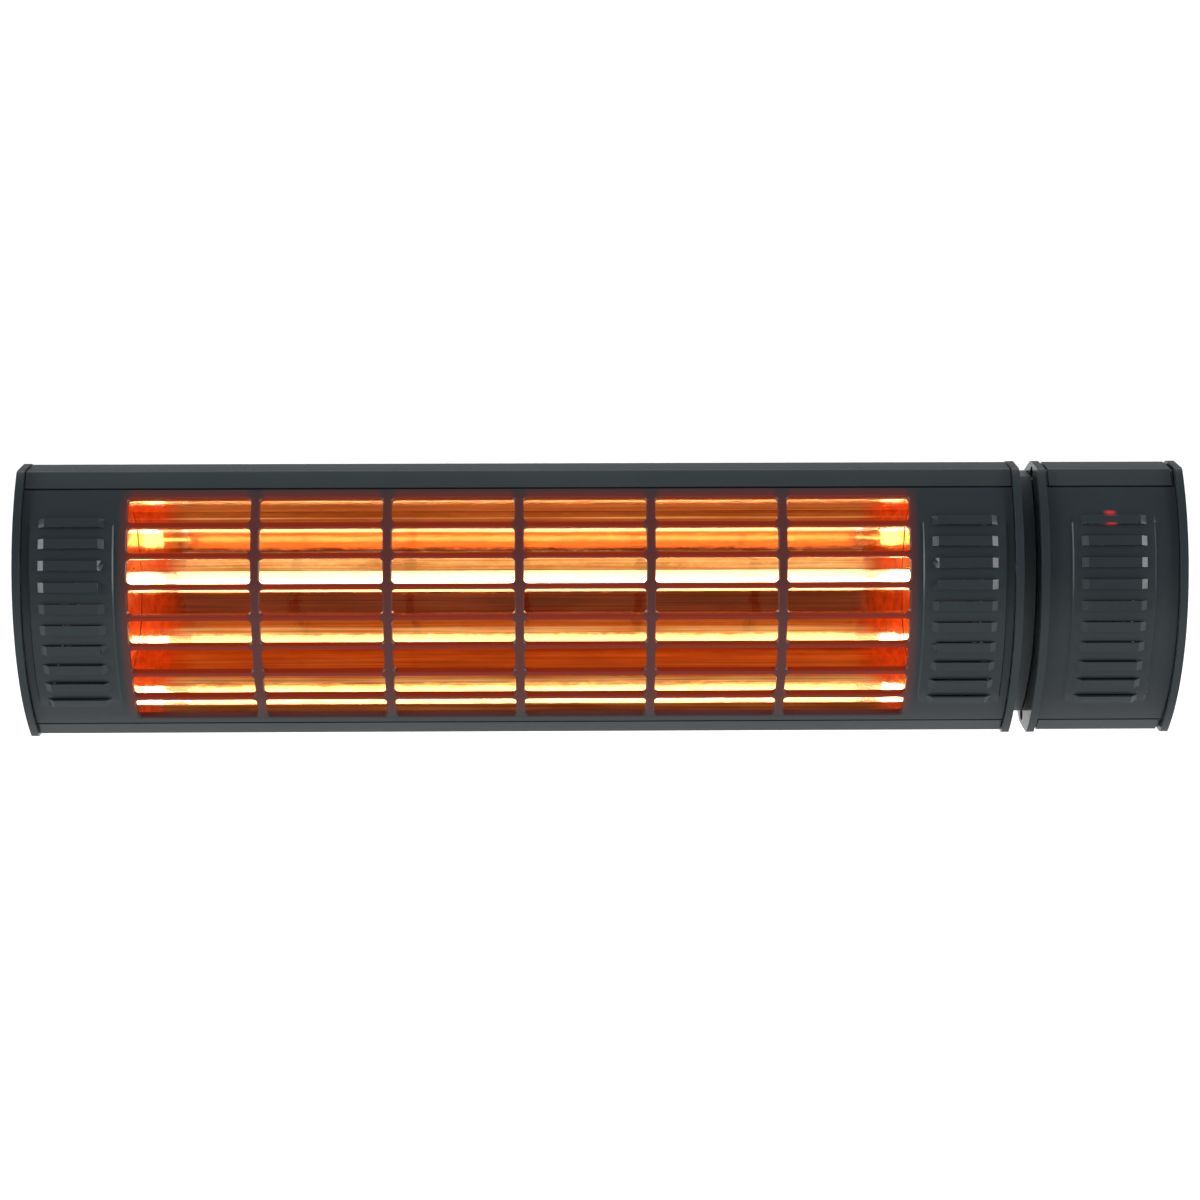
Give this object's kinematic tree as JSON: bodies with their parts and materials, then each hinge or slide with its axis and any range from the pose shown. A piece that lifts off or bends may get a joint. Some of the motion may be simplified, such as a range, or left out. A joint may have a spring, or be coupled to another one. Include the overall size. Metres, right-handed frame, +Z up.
{
  "type": "electric bar heater",
  "caption": "Wall-mounted electric bar heater with a curved slotted front, quartz lamp, faceted reflector, control box and tilting wall bracket.",
  "frame": {"origin": "centre of the wall bracket's flat wall face", "axes": "+X to the right seen from the front, -Y towards the front, +Z up"},
  "size_m": [0.5352, 0.1688, 0.1274],
  "materials": {
    "housing": "dark anthracite enamel, semi-gloss",
    "neck": "near-black satin",
    "reflector": "polished, folded in flat facets",
    "quartz": "clear quartz with a gold coat",
    "filament": "white-hot tungsten coil",
    "ceramic": "matt unglazed",
    "steel": "zinc plated",
    "bracket": "black powder coat",
    "dark_screw": "blackened",
    "wire_sleeve": "braided glass-fibre sleeve",
    "circuit_board": "green solder mask",
    "black_plastic": "satin",
    "white_plastic": "satin",
    "receiver": "smooth grey",
    "red_lens": "translucent red",
    "washer": "brown fibre"
  },
  "bodies": {
    "wall_mount": {"wall_bracket": "bracket", "pivot_bolt_left": "steel", "pivot_bolt_right": "steel", "pivot_nut_left": "steel", "pivot_nut_right": "steel", "pivot_washer_left": "washer", "pivot_washer_right": "washer"},
    "heater_body": {"board_screw_1": "steel", "board_screw_2": "steel", "cable_gland": "black_plastic", "circuit_board": "circuit_board", "control_cover": "housing", "control_housing": "housing", "control_plate_left": "housing", "control_plate_right": "housing", "control_screw_1": "dark_screw", "control_screw_2": "dark_screw", "control_screw_3": "dark_screw", "control_screw_4": "dark_screw", "ear_screw_1": "steel", "ear_screw_2": "steel", "ear_screw_3": "steel", "ear_screw_4": "steel", "end_plate_left": "housing", "end_plate_right": "housing", "end_screw_left_1": "dark_screw", "end_screw_left_2": "dark_screw", "end_screw_left_3": "dark_screw", "end_screw_left_4": "dark_screw", "end_screw_right_1": "dark_screw", "end_screw_right_2": "dark_screw", "end_screw_right_3": "dark_screw", "end_screw_right_4": "dark_screw", "front_grille": "housing", "gland_nut": "black_plastic", "holder_clip_left": "steel", "holder_clip_right": "steel", "housing_shell": "housing", "indicator_led": "red_lens", "lamp_cap_left": "ceramic", "lamp_cap_right": "ceramic", "lamp_filament": "filament", "lamp_holder_left": "ceramic", "lamp_holder_right": "ceramic", "lamp_tube": "quartz", "lamp_wire_left": "wire_sleeve", "lamp_wire_right": "wire_sleeve", "neck_screw_lower": "steel", "neck_screw_upper": "steel", "neck_spacer": "neck", "receiver_module": "receiver", "reflector": "reflector", "reflector_end_left": "reflector", "reflector_end_right": "reflector", "relay": "black_plastic", "terminal_block": "white_plastic", "tilt_ear_left": "bracket", "tilt_ear_right": "bracket"}
  },
  "joints": [
    {"name": "tilt", "type": "hinge", "parent": "wall_mount", "child": "heater_body", "pos_m": [0, -0.04, 0], "axis": [1, 0, 0], "range_deg": [-10, 45]}
  ]
}
